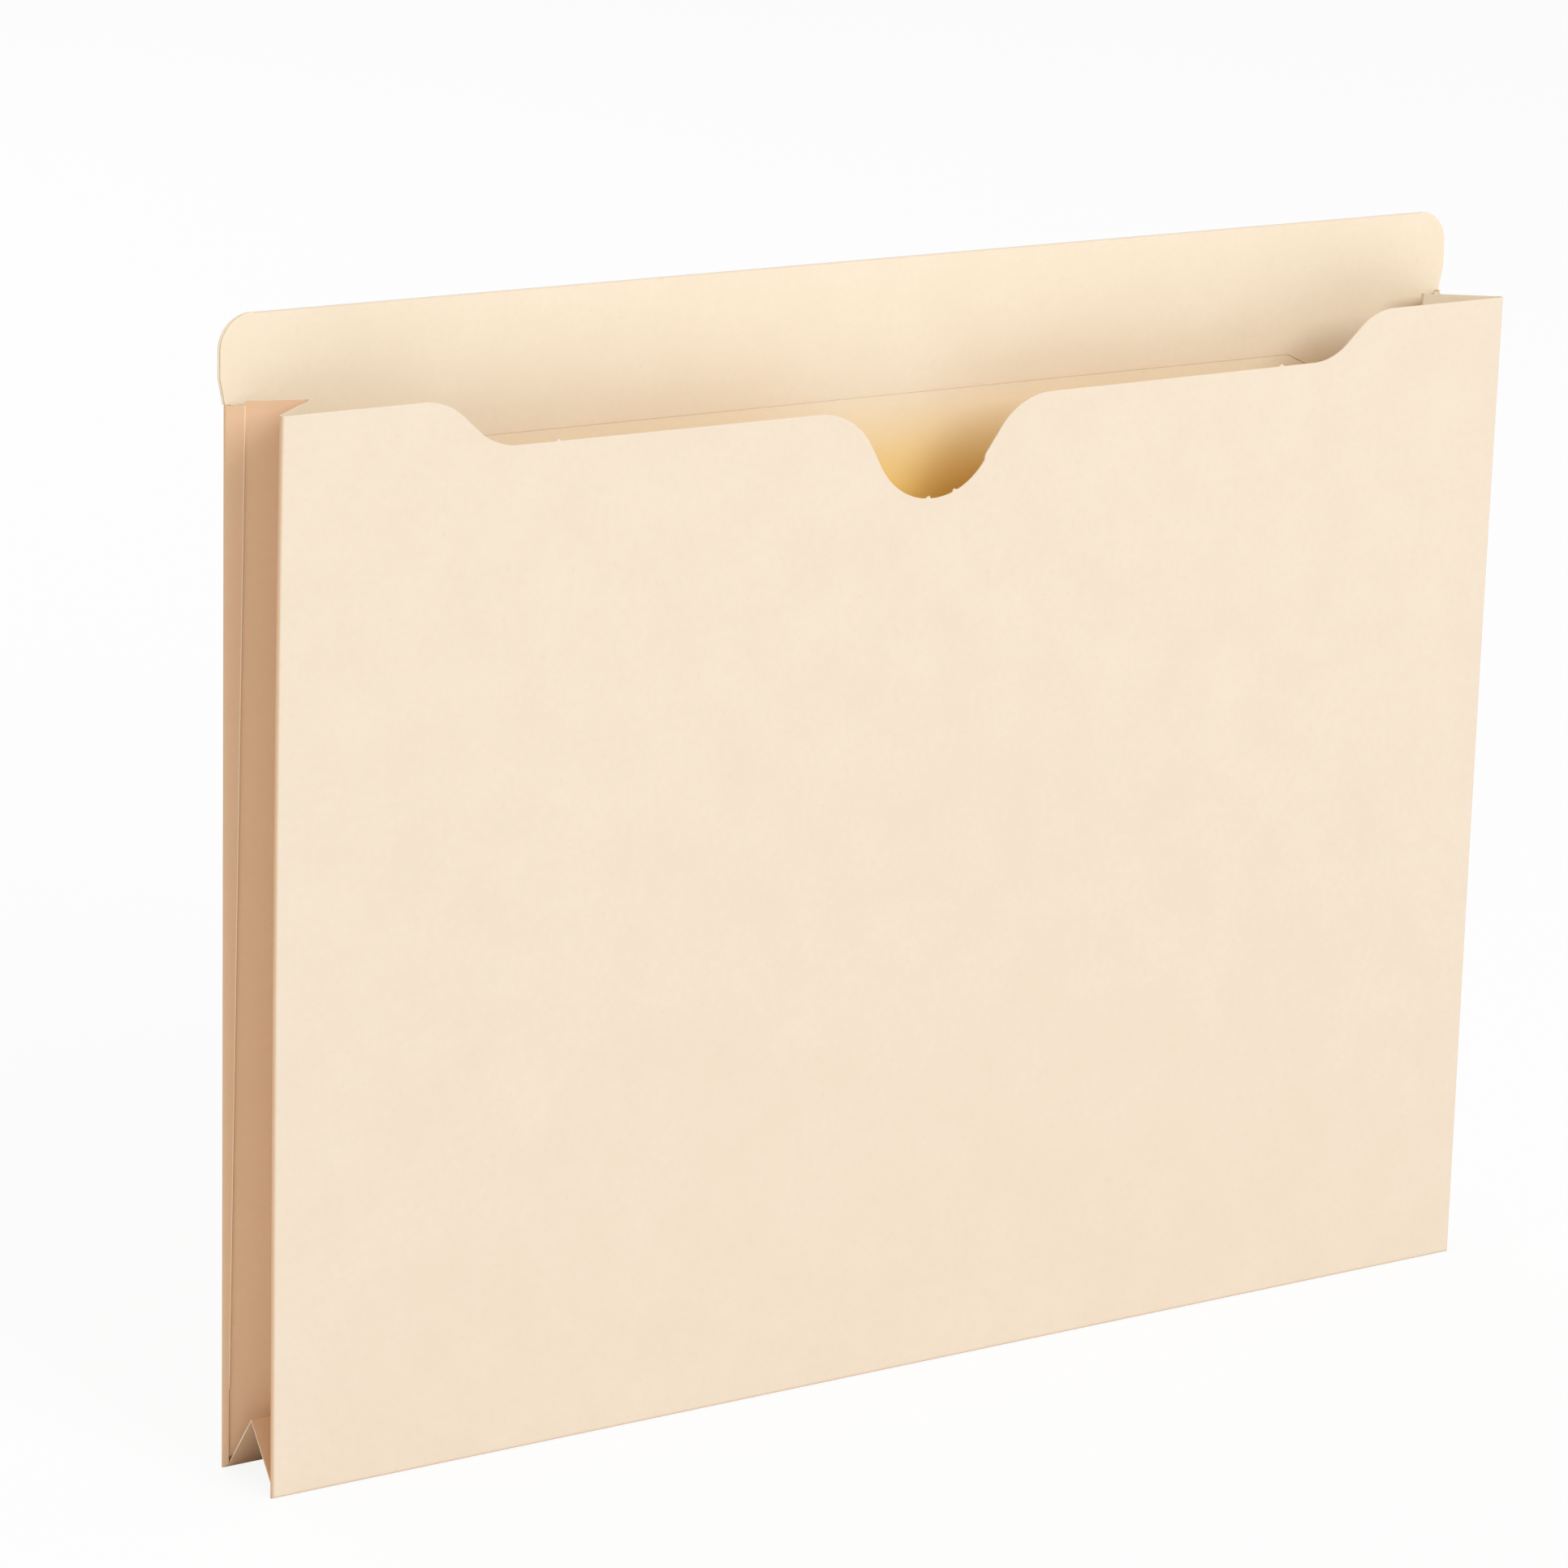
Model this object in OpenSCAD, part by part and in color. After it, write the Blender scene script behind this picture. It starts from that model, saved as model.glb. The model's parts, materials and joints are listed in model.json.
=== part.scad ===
// Expanding file jacket of manila stock: two panels joined by three pleated gussets.
// X is the width, Y the depth with the front at -Y, Z is up. The origin is at the
// bottom centre. Every gusset has two leaves that swing on a panel's fold and meet in
// a crease half way between the panels, so the jacket opens with its panels parallel.

/* [Panels] */
// Width across the tab
tab_w = 298.5; // [240:0.5:400]
// How far the tab stands out past each side fold
tab_overhang = 1.05; // [0.3:0.05:4]
// Height from the bottom folds to the top of the tab
back_h = 228.6; // [180:0.1:320]
// How far the front panel's ears and the side gussets end below the top of the tab
front_drop = 15.5; // [4:0.1:40]

/* [Stock] */
// Thickness of the manila sheet
stock = 0.28; // [0.2:0.01:0.4]
// Thickness of a line of glue
glue = 0.05; // [0.03:0.01:0.08]
// Gap that is left between neighbouring sheets when the jacket is pressed flat
play = 0.04; // [0.02:0.01:0.08]

/* [Gussets] */
// Width of a gusset leaf, from the outside of its fold to its crease
leaf_w = 15.9; // [10:0.1:30]
// Angle between a leaf and its panel, as the jacket stands
rest_angle = 37.5; // [15:0.5:75]
// Outer radius of the rolled folds along the edges of the panels
fold_r = 0.7; // [0.6:0.05:1.2]
// Running gap between a fold or crease and the leaf that swings round it
fold_gap = 0.06; // [0.03:0.01:0.15]
// How far the mitred lower ends of the side leaves stay clear of the bottom gusset
mitre_gap = 0.5; // [0.4:0.1:2]
// Gap between the bottom gusset's ends and the side folds
end_gap = 0.3; // [0.2:0.1:2]

/* [Seam flaps] */
// Width of a seam flap at its top, from the outside of the fold
flap_top_w = 4.2; // [2.5:0.1:9]
// Width of a seam flap at its bottom
flap_bottom_w = 1.6; // [1.5:0.1:9]

/* [Front cuts] */
// How far the middle of the front's top edge lies below its ears
ear_drop = 9.9; // [3:0.1:20]
// Distance from the centre line to the middle of each ear's curve
ear_x = 107.4; // [70:0.1:110]
// Radius of the two arcs in each ear's curve
ear_r = 13.5; // [11:0.1:25]
// Depth of the thumb notch
notch_depth = 19.4; // [8:0.1:24]
// Radius of the thumb notch and of its shoulders
notch_r = 15.2; // [13:0.1:20]

/* [Tab] */
// Height of the tab, from the top of the side folds
tab_h = 17.2; // [12:0.1:40]
// Height over which the tab's sides flare out
flare_h = 5.1; // [1:0.1:6]
// Corner radius of the tab
corner_r = 7; // [2:0.1:8]
// Height of the ply that is folded down inside the tab, at its middle
ply_h = 28; // [20:0.5:60]
// How much lower the ply reaches at its two ends
ply_ear_drop = 10; // [2:0.5:20]
// Distance from the centre line to where the ply's edge turns down
ply_turn_x = 107.5; // [60:0.5:110]
// Slope of the ply's edge where it turns down, in degrees
ply_slope = 25; // [20:1:60]
// How far the ply's side edges lie inside the tab's
ply_inset = 0.3; // [0.1:0.05:1]
// Bare border round the glue under the ply
glue_border = 3; // [1:0.5:8]

/* [Hidden] */
$fn = 64;
arc_steps = 12;
manila = "#F2E2C8";
manila_inside = "#EBCFA4";
dried_glue = "#EFE3BE";

// Distance from a fold's axis to its gusset's crease axis, along the leaf
leaf = leaf_w - fold_r;
// Sheets from a panel's inner face to the mid plane, when pressed flat. The side leaf
// lies on the tab's ply and the bottom leaf on the side leaf, so no two share a layer.
layer_side = glue + stock + play;
layer_bottom = layer_side + stock + play;
layer_mid = layer_bottom + stock + play / 2;
// The same layers, measured from the fold's axis towards the mid plane
axis_in = fold_r - stock;
side_n = layer_side - axis_in;
bottom_n = layer_bottom - axis_in;
mid_n = layer_mid - axis_in;

// Where the fold axes stand at rest, with the creases on the mid plane
body_half = tab_w / 2 - tab_overhang;
fold_x = body_half - fold_r;
fold_y = leaf * sin(rest_angle) + mid_n * cos(rest_angle);
fold_z = fold_r;

// Creases are as thick as the two leaves that meet there, pressed flat
side_crease_r = mid_n - side_n;
bottom_crease_r = mid_n - bottom_n;

// The panels end inside the rolled folds
panel_seat = fold_r / 2;
panel_half = fold_x - panel_seat;
panel_z = fold_z + panel_seat;
panel_in = fold_y + axis_in;

// Heights
front_h = back_h - front_drop;
mid_h = front_h - ear_drop;
tab_z = back_h - tab_h;
side_fold_z = 2 * fold_r + fold_gap;
crease_z = fold_z + leaf + mitre_gap;

// The fold along the top of the tab wraps both plies and the glue between them
tab_fold_r = stock + glue / 2;
tab_half = tab_w / 2;
ply_top = back_h - tab_fold_r;

// Leaves start outside the fold's bead and end on, or just short of, the crease's bead
leaf_start = fold_r + fold_gap;
bottom_half = body_half - 2 * fold_r - end_gap;

// Points on an arc about centre c from angle a0 to angle a1
function arc(c, r, a0, a1) =
    [for (i = [0:arc_steps]) let (a = a0 + (a1 - a0) * i / arc_steps) c + r * [cos(a), sin(a)]];

// The right half of an outline, then its mirror image, as one closed outline
function mirrored(half) =
    concat(half, [for (i = [len(half) - 1:-1:0]) if (half[i][0] > 0) [-half[i][0], half[i][1]]]);

// Outline of the tab's right side from its foot to the fold along its top, moved in by d
function tab_side(d) = concat(
    [[body_half - d, tab_z], [tab_half - d, tab_z + flare_h]],
    arc([tab_half - corner_r - d, back_h - corner_r], corner_r, 0, asin(1 - tab_fold_r / corner_r))
);

// Top edge of the front's right half, from the side to the notch's bottom
ear_turn = acos(1 - ear_drop / (2 * ear_r));
ear_half = ear_r * sin(ear_turn);
notch_half = sqrt(4 * notch_r * notch_depth - notch_depth * notch_depth);
notch_turn = asin((2 * notch_r - notch_depth) / (2 * notch_r));
front_edge = concat(
    [[panel_half, front_h]],
    arc([ear_x + ear_half, front_h - ear_r], ear_r, 90, 90 + ear_turn),
    arc([ear_x - ear_half, mid_h + ear_r], ear_r, ear_turn - 90, -90),
    arc([notch_half, mid_h - notch_r], notch_r, 90, 180 - notch_turn),
    arc([0, mid_h - notch_depth + notch_r], notch_r, -notch_turn, -90)
);

// An upright sheet whose outline lies in X and Z, from y towards the front by t
module upright(y, t) {
    translate([0, y, 0]) rotate([90, 0, 0]) linear_extrude(t) children();
}

// A sheet of a gusset leaf before it swings: its fold's axis is the Z axis for a side
// leaf and the X axis for the bottom leaf, and n is its depth from that axis
module leaf_sheet(n, t, outline) {
    translate([0, -n, 0]) rotate([90, 0, 0]) linear_extrude(t) polygon(outline);
}

// Side leaf's outline: its lower end is mitred at 45 degrees over the bottom gusset
function mitre(s) = fold_z + s + mitre_gap;
function side_outline(s_end) = [
    [leaf_start, mitre(leaf_start)], [s_end, mitre(s_end)], [s_end, front_h], [leaf_start, front_h]
];

// Seam flap's outline on the rear leaf, tapering downwards and drawn in by d at its edge
function flap_outline(d) = [
    [leaf_start, crease_z], [flap_bottom_w - fold_r - d, crease_z],
    [flap_top_w - fold_r - d, tab_z], [leaf_start, tab_z]
];

// Puts a left rear leaf's sheets on the left rear fold, swung to the rest angle
module on_left_fold() {
    translate([-fold_x, fold_y, 0]) rotate([0, 0, -rest_angle]) children();
}

// Puts the bottom rear leaf's sheets on the bottom rear fold, swung to the rest angle
module on_bottom_fold() {
    translate([0, fold_y, fold_z]) rotate([rest_angle, 0, 0]) children();
}

// Rolled fold along a left rear edge, notched where the panel's edge seats in it
module side_fold(top) {
    difference() {
        translate([-fold_x, fold_y, side_fold_z]) cylinder(r = fold_r, h = top - side_fold_z);
        translate([-panel_half, panel_in, 0]) cube([2 * fold_r, 2 * fold_r, back_h]);
    }
}

// Rolled fold along the bottom rear edge, notched in the same way
module bottom_fold() {
    difference() {
        translate([-body_half, fold_y, fold_z]) rotate([0, 90, 0])
            cylinder(r = fold_r, h = 2 * body_half);
        translate([-tab_w, panel_in, panel_z]) cube([2 * tab_w, 2 * fold_r, 2 * fold_r]);
    }
}

// Rear leaf of the left gusset, which seats in its crease
crease_seat = side_crease_r / 2;
module side_rear_leaf() {
    on_left_fold() leaf_sheet(side_n, stock, side_outline(leaf - crease_seat));
}

// Front leaf of the left gusset, which swings round the crease
module side_front_leaf() {
    mirror([0, 1, 0]) on_left_fold()
        leaf_sheet(side_n, stock, side_outline(leaf - side_crease_r - fold_gap));
}

// Crease of the left gusset, notched where the rear leaf's edge seats in it
module side_crease() {
    on_left_fold() difference() {
        translate([leaf, -mid_n, crease_z]) cylinder(r = side_crease_r, h = front_h - crease_z);
        translate([leaf - crease_seat - 2 * side_crease_r, -side_n - stock, 0])
            cube([2 * side_crease_r, 2 * side_crease_r, back_h]);
    }
}

module side_seam_flap() {
    on_left_fold() leaf_sheet(side_n + stock + glue, stock, flap_outline(0));
}

module side_seam_glue() {
    on_left_fold() leaf_sheet(side_n + stock, glue, flap_outline(glue));
}

module back_panel() {
    color(manila) upright(panel_in + stock, stock)
        polygon(mirrored(concat([[panel_half, panel_z], [panel_half, tab_z]], tab_side(0))));
}

// The ply passes inside the side folds, then spreads to the tab's outline above them
ply_half = fold_x - fold_r - fold_gap;
ply_z = back_h - ply_h;
ply_low = ply_z - ply_ear_drop;
module tab_ply() {
    color(manila) upright(panel_in - glue, stock)
        polygon(mirrored(concat(
            [[ply_turn_x, ply_z], [ply_turn_x + ply_ear_drop / tan(ply_slope), ply_low],
             [ply_half, ply_low], [ply_half, tab_z]],
            tab_side(ply_inset)
        )));
}

module tab_glue() {
    glue_half = ply_turn_x - glue_border;
    color(dried_glue) upright(panel_in, glue)
        polygon(mirrored([[glue_half, ply_z + glue_border], [glue_half, ply_top]]));
}

module tab_fold() {
    fold_half = tab_half - corner_r;
    color(manila) difference() {
        translate([-fold_half, panel_in - glue / 2, ply_top]) rotate([0, 90, 0])
            cylinder(r = tab_fold_r, h = 2 * fold_half);
        translate([-tab_w, 0, ply_top - back_h]) cube([2 * tab_w, 2 * panel_in, back_h]);
    }
}

module left_rear_fold() { color(manila) side_fold(tab_z); }
module right_rear_fold() { color(manila) mirror([1, 0, 0]) side_fold(tab_z); }
module bottom_rear_fold() { color(manila) bottom_fold(); }

module left_rear_leaf() { color(manila_inside) side_rear_leaf(); }
module left_seam_flap() { color(manila) side_seam_flap(); }
module left_seam_glue() { color(dried_glue) side_seam_glue(); }
module left_crease() { color(manila_inside) side_crease(); }
module left_front_leaf() { color(manila_inside) side_front_leaf(); }

module right_rear_leaf() { color(manila_inside) mirror([1, 0, 0]) side_rear_leaf(); }
module right_seam_flap() { color(manila) mirror([1, 0, 0]) side_seam_flap(); }
module right_seam_glue() { color(dried_glue) mirror([1, 0, 0]) side_seam_glue(); }
module right_crease() { color(manila_inside) mirror([1, 0, 0]) side_crease(); }
module right_front_leaf() { color(manila_inside) mirror([1, 0, 0]) side_front_leaf(); }

// Bottom leaves run the whole width, from the fold to the crease
bottom_seat = bottom_crease_r / 2;
function bottom_outline(s_end) = mirrored([[bottom_half, leaf_start], [bottom_half, s_end]]);

module bottom_rear_leaf() {
    color(manila_inside) on_bottom_fold()
        leaf_sheet(bottom_n, stock, bottom_outline(leaf - bottom_seat));
}

module bottom_crease() {
    color(manila_inside) on_bottom_fold() difference() {
        translate([-bottom_half, -mid_n, leaf]) rotate([0, 90, 0])
            cylinder(r = bottom_crease_r, h = 2 * bottom_half);
        translate([-tab_w, -bottom_n - stock, leaf - bottom_seat - 2 * bottom_crease_r])
            cube([2 * tab_w, 2 * bottom_crease_r, 2 * bottom_crease_r]);
    }
}

module bottom_front_leaf() {
    color(manila_inside) mirror([0, 1, 0]) on_bottom_fold()
        leaf_sheet(bottom_n, stock, bottom_outline(leaf - bottom_crease_r - fold_gap));
}

module front_panel() {
    color(manila) upright(-panel_in, stock)
        polygon(mirrored(concat([[panel_half, panel_z]], front_edge)));
}

module left_front_fold() { color(manila) mirror([0, 1, 0]) side_fold(front_h); }
module right_front_fold() { color(manila) mirror([1, 0, 0]) mirror([0, 1, 0]) side_fold(front_h); }
module bottom_front_fold() { color(manila) mirror([0, 1, 0]) bottom_fold(); }

back_panel();
tab_ply();
tab_glue();
tab_fold();
left_rear_fold();
right_rear_fold();
bottom_rear_fold();
left_rear_leaf();
left_seam_flap();
left_seam_glue();
left_crease();
left_front_leaf();
right_rear_leaf();
right_seam_flap();
right_seam_glue();
right_crease();
right_front_leaf();
bottom_rear_leaf();
bottom_crease();
bottom_front_leaf();
front_panel();
left_front_fold();
right_front_fold();
bottom_front_fold();
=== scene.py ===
"""An expanding file jacket of manila stock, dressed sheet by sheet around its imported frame.

Every stretch of the folded sheet is a piece of its own: two panels, the leaves of three gussets, the
folds and creases between them, the flaps of the side seams, and the ply that doubles the tab. Lengths
are in metres, in the frame's axes: X is the width, Y the depth with the front at -Y, and Z is up.
"""

import json
import math

import bmesh
import bpy
from bpy.props import FloatProperty, FloatVectorProperty, IntProperty, PointerProperty
from mathutils import Matrix, Vector


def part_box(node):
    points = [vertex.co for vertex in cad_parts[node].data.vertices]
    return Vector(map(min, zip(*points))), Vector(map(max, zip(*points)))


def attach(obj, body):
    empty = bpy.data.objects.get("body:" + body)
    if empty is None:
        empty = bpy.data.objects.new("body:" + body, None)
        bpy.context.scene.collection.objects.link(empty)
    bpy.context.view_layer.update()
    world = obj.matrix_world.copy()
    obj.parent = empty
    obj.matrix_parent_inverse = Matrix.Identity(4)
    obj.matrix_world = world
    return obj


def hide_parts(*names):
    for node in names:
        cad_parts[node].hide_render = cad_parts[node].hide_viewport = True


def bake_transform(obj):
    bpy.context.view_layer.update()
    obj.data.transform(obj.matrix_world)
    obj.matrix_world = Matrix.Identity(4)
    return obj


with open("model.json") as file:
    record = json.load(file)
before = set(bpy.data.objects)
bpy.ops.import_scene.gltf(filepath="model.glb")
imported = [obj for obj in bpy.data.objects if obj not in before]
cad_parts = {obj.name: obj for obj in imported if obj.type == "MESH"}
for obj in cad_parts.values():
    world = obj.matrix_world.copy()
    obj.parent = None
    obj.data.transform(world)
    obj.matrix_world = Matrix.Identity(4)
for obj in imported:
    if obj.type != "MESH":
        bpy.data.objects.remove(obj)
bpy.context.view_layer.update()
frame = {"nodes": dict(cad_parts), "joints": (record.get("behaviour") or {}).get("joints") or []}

bl_info = {
    "name": "File Jacket",
    "version": (1, 0, 0),
    "blender": (4, 5, 0),
    "location": "3D View > Sidebar > File Jacket",
    "description": "Dresses a packed file jacket with modelled manila sheets and sets its stage",
    "category": "Object",
}

MM = 0.001
FRONT, BACK, UP = Vector((0, -1, 0)), Vector((0, 1, 0)), Vector((0, 0, 1))
LEFT, RIGHT = Vector((-1, 0, 0)), Vector((1, 0, 0))


def span(node):
    """Size of a node of the frame along X, Y and Z."""
    low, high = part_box(node)
    return high - low


# Sizes that the frame holds
STOCK = span("back_panel").y
GLUE = span("tab_glue").y
BACK_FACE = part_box("back_panel")[1].y
FRONT_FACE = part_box("front_panel")[0].y
PANEL_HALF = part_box("front_panel")[1].x
PANEL_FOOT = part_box("front_panel")[0].z
FRONT_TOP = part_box("front_panel")[1].z
BODY_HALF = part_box("right_rear_fold")[1].x
TAB_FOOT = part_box("left_rear_fold")[1].z
TAB_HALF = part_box("back_panel")[1].x
TAB_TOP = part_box("tab_fold")[1].z
TAB_FOLD_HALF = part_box("tab_fold")[1].x
TAB_FOLD_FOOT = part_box("tab_fold")[0].z
HINGES = {joint["name"]: Vector(joint["pos_m"]) for joint in frame["joints"]}
RANGES = {joint["name"]: joint["range_deg"] for joint in frame["joints"]}
CLOSING = -math.radians(RANGES["left_rear_hinge"][0])


# Sizes and colours that a user would change


class JacketStock(bpy.types.PropertyGroup):
    """How the manila sheet bends and lies."""

    play: FloatProperty(
        name="Play", description="Gap between neighbouring sheets when the jacket is pressed flat",
        default=0.04 * MM, unit="LENGTH", precision=5)
    bow: FloatProperty(
        name="Bow", description="How far the middle of the front panel's top edge bows forward",
        default=1.5 * MM, unit="LENGTH", precision=5)
    splay_left: FloatProperty(
        name="Splay left", description="How far the front panel's top left corner leans forward",
        default=2.0 * MM, unit="LENGTH", precision=5)
    splay_right: FloatProperty(
        name="Splay right", description="How far the front panel's top right corner leans forward",
        default=1.0 * MM, unit="LENGTH", precision=5)
    cell: FloatProperty(
        name="Cell", description="Size of the cells into which a bowed panel is cut",
        default=6 * MM, unit="LENGTH", precision=5)
    bend_steps: IntProperty(
        name="Bend steps", description="Faces round a fold or crease", default=16, min=4)
    curve_step: FloatProperty(
        name="Curve step", description="Length of one straight step of a die-cut curve",
        default=0.45 * MM, unit="LENGTH", precision=5)
    pressed: FloatProperty(
        name="Pressed", description="How much thinner the press has left the tab ply's lower edge",
        default=0.2 * MM, unit="LENGTH", precision=5)
    pressed_h: FloatProperty(
        name="Pressed height", description="Height over which the tab ply thins down to its pressed edge",
        default=1.2 * MM, unit="LENGTH", precision=5)
    # Painted highlight: the pale line along a seam flap's free edge stands for its cut edge catching the
    # light.
    highlit: FloatProperty(
        name="Edge highlight", description="Width of the pale, rubbed line along a seam flap's free edge",
        default=0.18 * MM, unit="LENGTH", precision=5)
    nick: FloatProperty(
        name="Nick", description="How far the stub of a die's holding nick stands out of a cut edge",
        default=0.55 * MM, unit="LENGTH", precision=5)


class JacketCuts(bpy.types.PropertyGroup):
    """Outlines that the die cuts."""

    ear_drop: FloatProperty(
        name="Ear drop", description="How far the middle of the front's top edge lies below its ears",
        default=9.9 * MM, unit="LENGTH", precision=5)
    ear_x: FloatProperty(
        name="Ear distance", description="From the centre line to the middle of each ear's curve",
        default=107.4 * MM, unit="LENGTH", precision=5)
    ear_run: FloatProperty(
        name="Ear run", description="Width of each ear's curve",
        default=20.9 * MM, unit="LENGTH", precision=5)
    ear_slope: FloatProperty(
        name="Ear slope", description="Slope of the straight flank in each ear's curve",
        default=math.radians(42), unit="ROTATION")
    notch_depth: FloatProperty(
        name="Notch depth", description="Depth of the thumb notch",
        default=19.4 * MM, unit="LENGTH", precision=5)
    notch_half: FloatProperty(
        name="Notch half", description="From the centre line to where the thumb notch's shoulders start",
        default=28.34 * MM, unit="LENGTH", precision=5)
    notch_slope: FloatProperty(
        name="Notch slope", description="Slope of the straight flanks of the thumb notch",
        default=math.radians(60), unit="ROTATION")
    nick_x: FloatProperty(
        name="Nick distance", description="From the centre line to a holding nick in the front's top edge",
        default=88 * MM, unit="LENGTH", precision=5)
    notch_nicks: FloatVectorProperty(
        name="Notch nicks", description="Where holding nicks lie across the thumb notch", subtype="XYZ",
        unit="LENGTH", default=(13 * MM, 5.3 * MM, -1 * MM), precision=5)
    flare_h: FloatProperty(
        name="Flare height", description="Height over which the tab's sides flare out",
        default=5.1 * MM, unit="LENGTH", precision=5)
    ply_h: FloatProperty(
        name="Ply height", description="Height of the ply inside the tab, at its middle",
        default=28 * MM, unit="LENGTH", precision=5)
    ply_turn_x: FloatProperty(
        name="Ply turn", description="From the centre line to where the ply's edge turns down",
        default=107.5 * MM, unit="LENGTH", precision=5)
    ply_slope: FloatProperty(
        name="Ply slope", description="Slope of the ply's edge where it turns down",
        default=math.radians(25), unit="ROTATION")
    flap_top_w: FloatProperty(
        name="Flap top", description="Width of a seam flap at its top, from the outside of the fold",
        default=4.2 * MM, unit="LENGTH", precision=5)
    flap_bottom_w: FloatProperty(
        name="Flap bottom", description="Width of a seam flap at its bottom",
        default=1.6 * MM, unit="LENGTH", precision=5)
    leaf_rise_left: FloatProperty(
        name="Leaf rise left", description="How far the left rear leaf's top rises from fold to crease",
        default=1.0 * MM, unit="LENGTH", precision=5)
    leaf_rise_right: FloatProperty(
        name="Leaf rise right", description="How far the right rear leaf's top rises from fold to crease",
        default=2.7 * MM, unit="LENGTH", precision=5)
    corner_w: FloatProperty(
        name="Corner width", description="Width of the cut corner at a rear leaf's top, beside its fold",
        default=3.3 * MM, unit="LENGTH", precision=5)
    corner_slope: FloatProperty(
        name="Corner slope", description="Slope of the cut corner at a rear leaf's top",
        default=math.radians(65), unit="ROTATION")
    mitre_gap: FloatProperty(
        name="Mitre gap", description="How far the mitred side leaves stay clear of the bottom gusset",
        default=0.5 * MM, unit="LENGTH", precision=5)


class JacketFinish(bpy.types.PropertyGroup):
    """Colours of the manila and its glue, with tones that paint shade into the gussets and the pocket."""

    outside: FloatVectorProperty(
        name="Outside", description="Manila on the outer faces of the panels", subtype="COLOR",
        default=(0.805, 0.69, 0.56), min=0, max=1)
    # Painted shade: the gussets' manila is deeper and warmer than the panels', standing in for warm light
    # bounced into the gussets' shade.
    gusset: FloatVectorProperty(
        name="Gusset", description="Manila on the outer faces of the gussets", subtype="COLOR",
        default=(0.84, 0.575, 0.37), min=0, max=1)
    inside: FloatVectorProperty(
        name="Inside", description="Manila at the mouth of the pocket", subtype="COLOR",
        default=(0.885, 0.775, 0.61), min=0, max=1)
    # Painted shade: the pocket's manila goes over to this deep tone between two heights, standing in for
    # light bounced between its walls.
    deep: FloatVectorProperty(
        name="Deep", description="Manila down in the pocket, where light has bounced between its walls",
        subtype="COLOR", default=(1.0, 0.73, 0.23), min=0, max=1)
    deep_from: FloatProperty(
        name="Deep from", description="Height at which the pocket starts to deepen in tone",
        default=204 * MM, unit="LENGTH")
    deep_to: FloatProperty(
        name="Deep to", description="Height below which the pocket stays deep in tone",
        default=176 * MM, unit="LENGTH")
    # Painted shade: the front panel's inner face goes over to a saturated orange towards the bottom, so
    # that light bounced off it tints the pocket's shade.
    lining: FloatVectorProperty(
        name="Lining", description="Manila on the inner face of the front panel, below its top edge",
        subtype="COLOR", default=(1.0, 0.64, 0.2), min=0, max=1)
    lining_from: FloatProperty(
        name="Lining from", description="Height at which the front panel's inner face starts to deepen",
        default=211 * MM, unit="LENGTH")
    lining_to: FloatProperty(
        name="Lining to", description="Height below which the front panel's inner face stays deep",
        default=188 * MM, unit="LENGTH")
    cut: FloatVectorProperty(
        name="Cut", description="Raw core of the stock at its cut edges", subtype="COLOR",
        default=(0.93, 0.79, 0.62), min=0, max=1)
    glue: FloatVectorProperty(
        name="Glue", description="Dried glue", subtype="COLOR",
        default=(0.86, 0.76, 0.52), min=0, max=1)


class JacketStage(bpy.types.PropertyGroup):
    """Camera, light and floor."""

    eye: FloatVectorProperty(
        name="Eye", description="Where the camera stands", subtype="TRANSLATION", unit="LENGTH",
        default=(-0.6778, -0.9504, 0.4201))
    azimuth: FloatProperty(
        name="Azimuth", description="Side from which the camera looks", unit="ROTATION",
        default=math.radians(-34.46))
    elevation: FloatProperty(
        name="Elevation", description="How steeply the camera looks down", unit="ROTATION",
        default=math.radians(14.34))
    roll: FloatProperty(
        name="Roll", description="Tilt of the camera about its own axis", unit="ROTATION",
        default=math.radians(1.49))
    lens: FloatProperty(
        name="Lens", description="Focal length of the camera", default=136.06, unit="CAMERA")
    sensor: FloatProperty(
        name="Sensor", description="Width of the camera's sensor", default=36, unit="CAMERA")
    key_power: FloatProperty(
        name="Key power", description="Power of the soft light in front", default=29.0, unit="POWER")
    back_power: FloatProperty(
        name="Back power", description="Power of the soft light behind", default=13.0, unit="POWER")
    light_size: FloatProperty(
        name="Light size", description="Side of either soft light", default=1.2, unit="LENGTH")
    light_distance: FloatProperty(
        name="Light distance", description="From the jacket to either soft light",
        default=2.4, unit="LENGTH")
    light_azimuth: FloatProperty(
        name="Light azimuth", description="Side from which the soft light in front shines",
        default=math.radians(7), unit="ROTATION")
    light_elevation: FloatProperty(
        name="Light elevation", description="Height of either soft light as an angle",
        default=math.radians(31), unit="ROTATION")
    ambient: FloatVectorProperty(
        name="Ambient", description="Even light from all round", subtype="COLOR",
        default=(0.61, 0.61, 0.61), min=0, max=1)
    floor: FloatVectorProperty(
        name="Floor", description="Colour of the floor", subtype="COLOR",
        default=(0.92, 0.92, 0.92), min=0, max=1)
    floor_white: FloatProperty(
        name="Floor white", description="Share of plain white that the camera sees in the floor",
        default=0.9, min=0, max=1, subtype="FACTOR")
    floor_half: FloatProperty(
        name="Floor half", description="From the middle of the floor to its edge",
        default=6, unit="LENGTH")
    floor_gap: FloatProperty(
        name="Floor gap", description="From the foot of the jacket down to the floor",
        default=0.1 * MM, unit="LENGTH", precision=5)


# Materials

# Sizes of the patterns in the stock and in its glue
CLOUD_SIZE, MOTTLE_SIZE, TOOTH_SIZE = 14 * MM, 1.6 * MM, 0.28 * MM
STRAND_SIZE, PATCH_SIZE, POOL_SIZE = 2.4 * MM, 1.9 * MM, 5 * MM
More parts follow.
